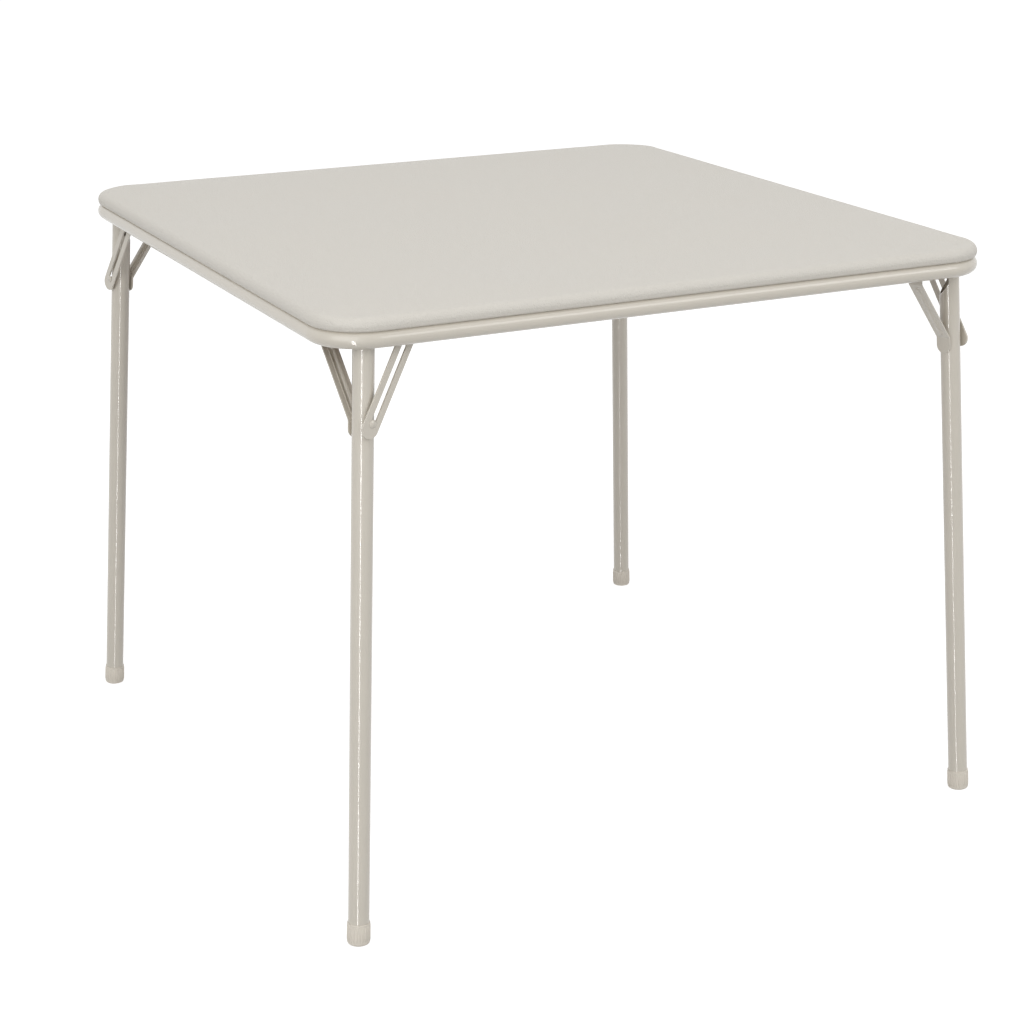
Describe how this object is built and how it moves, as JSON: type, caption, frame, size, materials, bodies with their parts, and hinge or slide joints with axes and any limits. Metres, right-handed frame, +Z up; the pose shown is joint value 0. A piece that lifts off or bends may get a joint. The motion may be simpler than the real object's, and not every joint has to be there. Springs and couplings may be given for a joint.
{
  "type": "folding card table",
  "caption": "Square folding card table: padded vinyl top on a steel rim, with slim round tube legs that fold under it on braces and slotted lock links.",
  "frame": {"origin": "on the floor under the middle of the top", "axes": "+Z up, -Y towards the front side, +X to the right"},
  "size_m": [0.8892, 0.8892, 0.7087],
  "materials": {
    "vinyl": "fine pebble grain, low sheen",
    "foam": "open cell foam",
    "hardboard": "smooth brown hardboard",
    "beige_enamel": "semi-gloss beige enamel",
    "foot_plastic": "matte moulded beige plastic",
    "zinc_steel": "zinc plated"
  },
  "bodies": {
    "top": {"vinyl_cover": "vinyl", "foam_pad": "foam", "top_panel": "hardboard", "hem_staples": "zinc_steel", "rim_tube": "beige_enamel", "panel_clips": "beige_enamel", "panel_screws": "zinc_steel", "leg_pivot_rivets": "zinc_steel", "leg_pivot_bushes": "zinc_steel", "link_pivot_rivets": "zinc_steel", "brace_pivot_rivets": "zinc_steel", "front_left_brace_hanger": "beige_enamel", "front_right_brace_hanger": "beige_enamel", "back_right_brace_hanger": "beige_enamel", "back_left_brace_hanger": "beige_enamel"},
    "front_left_leg": {"front_left_leg_tube": "beige_enamel", "front_left_foot_cap": "foot_plastic", "front_left_leg_brace": "beige_enamel", "front_left_lock_pin": "beige_enamel"},
    "front_left_link": {"front_left_lock_link": "beige_enamel"},
    "front_left_lock": {"front_left_lock_rivet": "beige_enamel"},
    "front_right_leg": {"front_right_leg_tube": "beige_enamel", "front_right_foot_cap": "foot_plastic", "front_right_leg_brace": "beige_enamel", "front_right_lock_pin": "beige_enamel"},
    "front_right_link": {"front_right_lock_link": "beige_enamel"},
    "front_right_lock": {"front_right_lock_rivet": "beige_enamel"},
    "back_right_leg": {"back_right_leg_tube": "beige_enamel", "back_right_foot_cap": "foot_plastic", "back_right_leg_brace": "beige_enamel", "back_right_lock_pin": "beige_enamel"},
    "back_right_link": {"back_right_lock_link": "beige_enamel"},
    "back_right_lock": {"back_right_lock_rivet": "beige_enamel"},
    "back_left_leg": {"back_left_leg_tube": "beige_enamel", "back_left_foot_cap": "foot_plastic", "back_left_leg_brace": "beige_enamel", "back_left_lock_pin": "beige_enamel"},
    "back_left_link": {"back_left_lock_link": "beige_enamel"},
    "back_left_lock": {"back_left_lock_rivet": "beige_enamel"}
  },
  "joints": [
    {"name": "front_left_leg_fold", "type": "hinge", "parent": "top", "child": "front_left_leg", "pos_m": [-0.373, -0.3939, 0.678], "axis": [0.2417, -0.9695, 0.0408], "range_deg": [0, 93.88]},
    {"name": "front_left_link_swing", "type": "hinge", "parent": "top", "child": "front_left_link", "pos_m": [-0.32788, -0.38265, 0.678], "axis": [0.2417, -0.9695, 0.0408], "range_deg": [0, 121.12]},
    {"name": "front_left_rivet_slide", "type": "slide", "parent": "front_left_link", "child": "front_left_lock", "axis": [0.493, 0.1589, 0.8554], "range_m": [0, 0.0609]},
    {"name": "front_right_leg_fold", "type": "hinge", "parent": "top", "child": "front_right_leg", "pos_m": [0.3939, -0.373, 0.678], "axis": [0.9695, 0.2417, 0.0408], "range_deg": [0, 93.88]},
    {"name": "front_right_link_swing", "type": "hinge", "parent": "top", "child": "front_right_link", "pos_m": [0.38265, -0.32788, 0.678], "axis": [0.9695, 0.2417, 0.0408], "range_deg": [0, 121.12]},
    {"name": "front_right_rivet_slide", "type": "slide", "parent": "front_right_link", "child": "front_right_lock", "axis": [-0.1589, 0.493, 0.8554], "range_m": [0, 0.0609]},
    {"name": "back_right_leg_fold", "type": "hinge", "parent": "top", "child": "back_right_leg", "pos_m": [0.373, 0.3939, 0.678], "axis": [-0.2417, 0.9695, 0.0408], "range_deg": [0, 93.88]},
    {"name": "back_right_link_swing", "type": "hinge", "parent": "top", "child": "back_right_link", "pos_m": [0.32788, 0.38265, 0.678], "axis": [-0.2417, 0.9695, 0.0408], "range_deg": [0, 121.12]},
    {"name": "back_right_rivet_slide", "type": "slide", "parent": "back_right_link", "child": "back_right_lock", "axis": [-0.493, -0.1589, 0.8554], "range_m": [0, 0.0609]},
    {"name": "back_left_leg_fold", "type": "hinge", "parent": "top", "child": "back_left_leg", "pos_m": [-0.3939, 0.373, 0.678], "axis": [-0.9695, -0.2417, 0.0408], "range_deg": [0, 93.88]},
    {"name": "back_left_link_swing", "type": "hinge", "parent": "top", "child": "back_left_link", "pos_m": [-0.38265, 0.32788, 0.678], "axis": [-0.9695, -0.2417, 0.0408], "range_deg": [0, 121.12]},
    {"name": "back_left_rivet_slide", "type": "slide", "parent": "back_left_link", "child": "back_left_lock", "axis": [0.1589, -0.493, 0.8554], "range_m": [0, 0.0609]}
  ],
  "couplings": [
    {"joint": "front_left_link_swing", "follows": "front_left_leg_fold", "ratio": 1.2901},
    {"joint": "front_left_rivet_slide", "follows": "front_left_leg_fold", "m_per_rad": 0.037158},
    {"joint": "front_right_link_swing", "follows": "front_right_leg_fold", "ratio": 1.2901},
    {"joint": "front_right_rivet_slide", "follows": "front_right_leg_fold", "m_per_rad": 0.037158},
    {"joint": "back_right_link_swing", "follows": "back_right_leg_fold", "ratio": 1.2901},
    {"joint": "back_right_rivet_slide", "follows": "back_right_leg_fold", "m_per_rad": 0.037158},
    {"joint": "back_left_link_swing", "follows": "back_left_leg_fold", "ratio": 1.2901},
    {"joint": "back_left_rivet_slide", "follows": "back_left_leg_fold", "m_per_rad": 0.037158}
  ]
}
